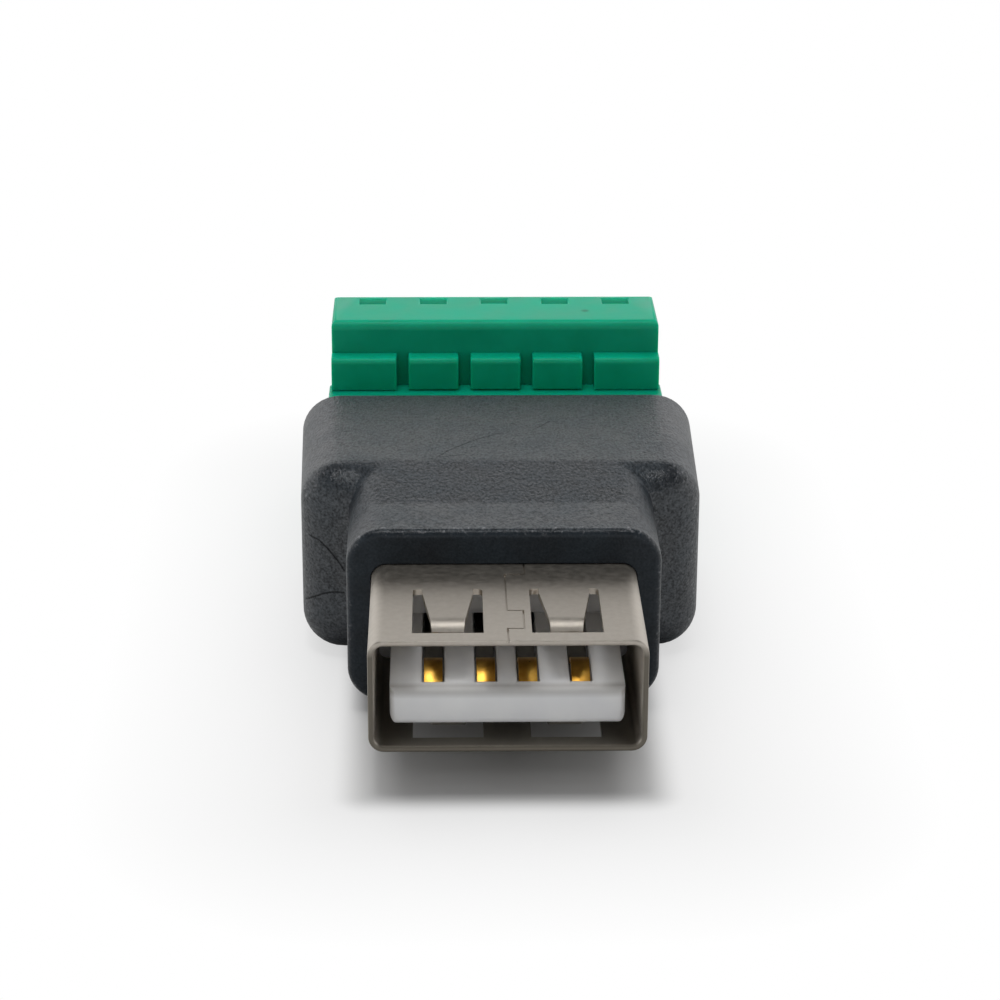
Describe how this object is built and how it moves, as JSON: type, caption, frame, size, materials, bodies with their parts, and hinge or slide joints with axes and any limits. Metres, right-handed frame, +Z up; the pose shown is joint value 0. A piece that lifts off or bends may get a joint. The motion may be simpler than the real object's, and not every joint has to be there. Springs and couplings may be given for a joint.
{
  "type": "usb terminal block adapter",
  "caption": "Black moulded adapter with a metal USB-A socket at one end and a green pluggable screw terminal block at the other, for joining bare wires to a USB plug.",
  "frame": {"origin": "under the middle of the part, on the plane of the housing's underside", "axes": "+Y from the socket's mouth towards the wire entries, +X to the right seen from the socket, +Z up"},
  "size_m": [0.0214, 0.042, 0.0129],
  "materials": {
    "black_overmould": "satin black moulding with a fine grain",
    "nickel_plate": "nickel-plated sheet",
    "white_plastic": "off-white moulding",
    "gilt_contact": "gold flash",
    "board_laminate": "glass laminate",
    "green_plastic": "smooth green moulding",
    "tinned_pin": "tin plate",
    "contact_alloy": "tin plate",
    "cage_plate": "zinc plate",
    "screw_steel": "zinc plate"
  },
  "bodies": {
    "socket": {"overmould_housing": "black_overmould", "usb_shell": "nickel_plate", "usb_insulator": "white_plastic", "usb_contact_power": "gilt_contact", "usb_contact_data_minus": "gilt_contact", "usb_contact_data_plus": "gilt_contact", "usb_contact_ground": "gilt_contact", "circuit_board": "board_laminate", "header_body": "green_plastic", "header_pin_1": "tinned_pin", "header_pin_2": "tinned_pin", "header_pin_3": "tinned_pin", "header_pin_4": "tinned_pin", "header_pin_5": "tinned_pin"},
    "plug": {"plug_body": "green_plastic", "plug_contact_1": "contact_alloy", "plug_contact_2": "contact_alloy", "plug_contact_3": "contact_alloy", "plug_contact_4": "contact_alloy", "plug_contact_5": "contact_alloy"},
    "screw_1": {"terminal_screw_1": "screw_steel"},
    "cage_1": {"clamp_cage_1": "cage_plate"},
    "screw_2": {"terminal_screw_2": "screw_steel"},
    "cage_2": {"clamp_cage_2": "cage_plate"},
    "screw_3": {"terminal_screw_3": "screw_steel"},
    "cage_3": {"clamp_cage_3": "cage_plate"},
    "screw_4": {"terminal_screw_4": "screw_steel"},
    "cage_4": {"clamp_cage_4": "cage_plate"},
    "screw_5": {"terminal_screw_5": "screw_steel"},
    "cage_5": {"clamp_cage_5": "cage_plate"}
  },
  "joints": [
    {"name": "plug_slide", "type": "slide", "parent": "socket", "child": "plug", "axis": [0, 1, 0], "range_m": [0, 0.008]},
    {"name": "screw_1_turn", "type": "hinge", "parent": "plug", "child": "screw_1", "pos_m": [-0.007, 0.018, 0.009], "axis": [0, 0, -1], "range_deg": [0, 1800]},
    {"name": "cage_1_lift", "type": "slide", "parent": "plug", "child": "cage_1", "axis": [0, 0, 1], "range_m": [0, 0.002]},
    {"name": "screw_2_turn", "type": "hinge", "parent": "plug", "child": "screw_2", "pos_m": [-0.0035, 0.018, 0.009], "axis": [0, 0, -1], "range_deg": [0, 1800]},
    {"name": "cage_2_lift", "type": "slide", "parent": "plug", "child": "cage_2", "axis": [0, 0, 1], "range_m": [0, 0.002]},
    {"name": "screw_3_turn", "type": "hinge", "parent": "plug", "child": "screw_3", "pos_m": [0, 0.018, 0.009], "axis": [0, 0, -1], "range_deg": [0, 1800]},
    {"name": "cage_3_lift", "type": "slide", "parent": "plug", "child": "cage_3", "axis": [0, 0, 1], "range_m": [0, 0.002]},
    {"name": "screw_4_turn", "type": "hinge", "parent": "plug", "child": "screw_4", "pos_m": [0.0035, 0.018, 0.009], "axis": [0, 0, -1], "range_deg": [0, 1800]},
    {"name": "cage_4_lift", "type": "slide", "parent": "plug", "child": "cage_4", "axis": [0, 0, 1], "range_m": [0, 0.002]},
    {"name": "screw_5_turn", "type": "hinge", "parent": "plug", "child": "screw_5", "pos_m": [0.007, 0.018, 0.009], "axis": [0, 0, -1], "range_deg": [0, 1800]},
    {"name": "cage_5_lift", "type": "slide", "parent": "plug", "child": "cage_5", "axis": [0, 0, 1], "range_m": [0, 0.002]}
  ],
  "couplings": [
    {"joint": "screw_1_turn", "follows": "cage_1_lift", "rad_per_m": 15707},
    {"joint": "screw_2_turn", "follows": "cage_2_lift", "rad_per_m": 15707},
    {"joint": "screw_3_turn", "follows": "cage_3_lift", "rad_per_m": 15707},
    {"joint": "screw_4_turn", "follows": "cage_4_lift", "rad_per_m": 15707},
    {"joint": "screw_5_turn", "follows": "cage_5_lift", "rad_per_m": 15707}
  ]
}
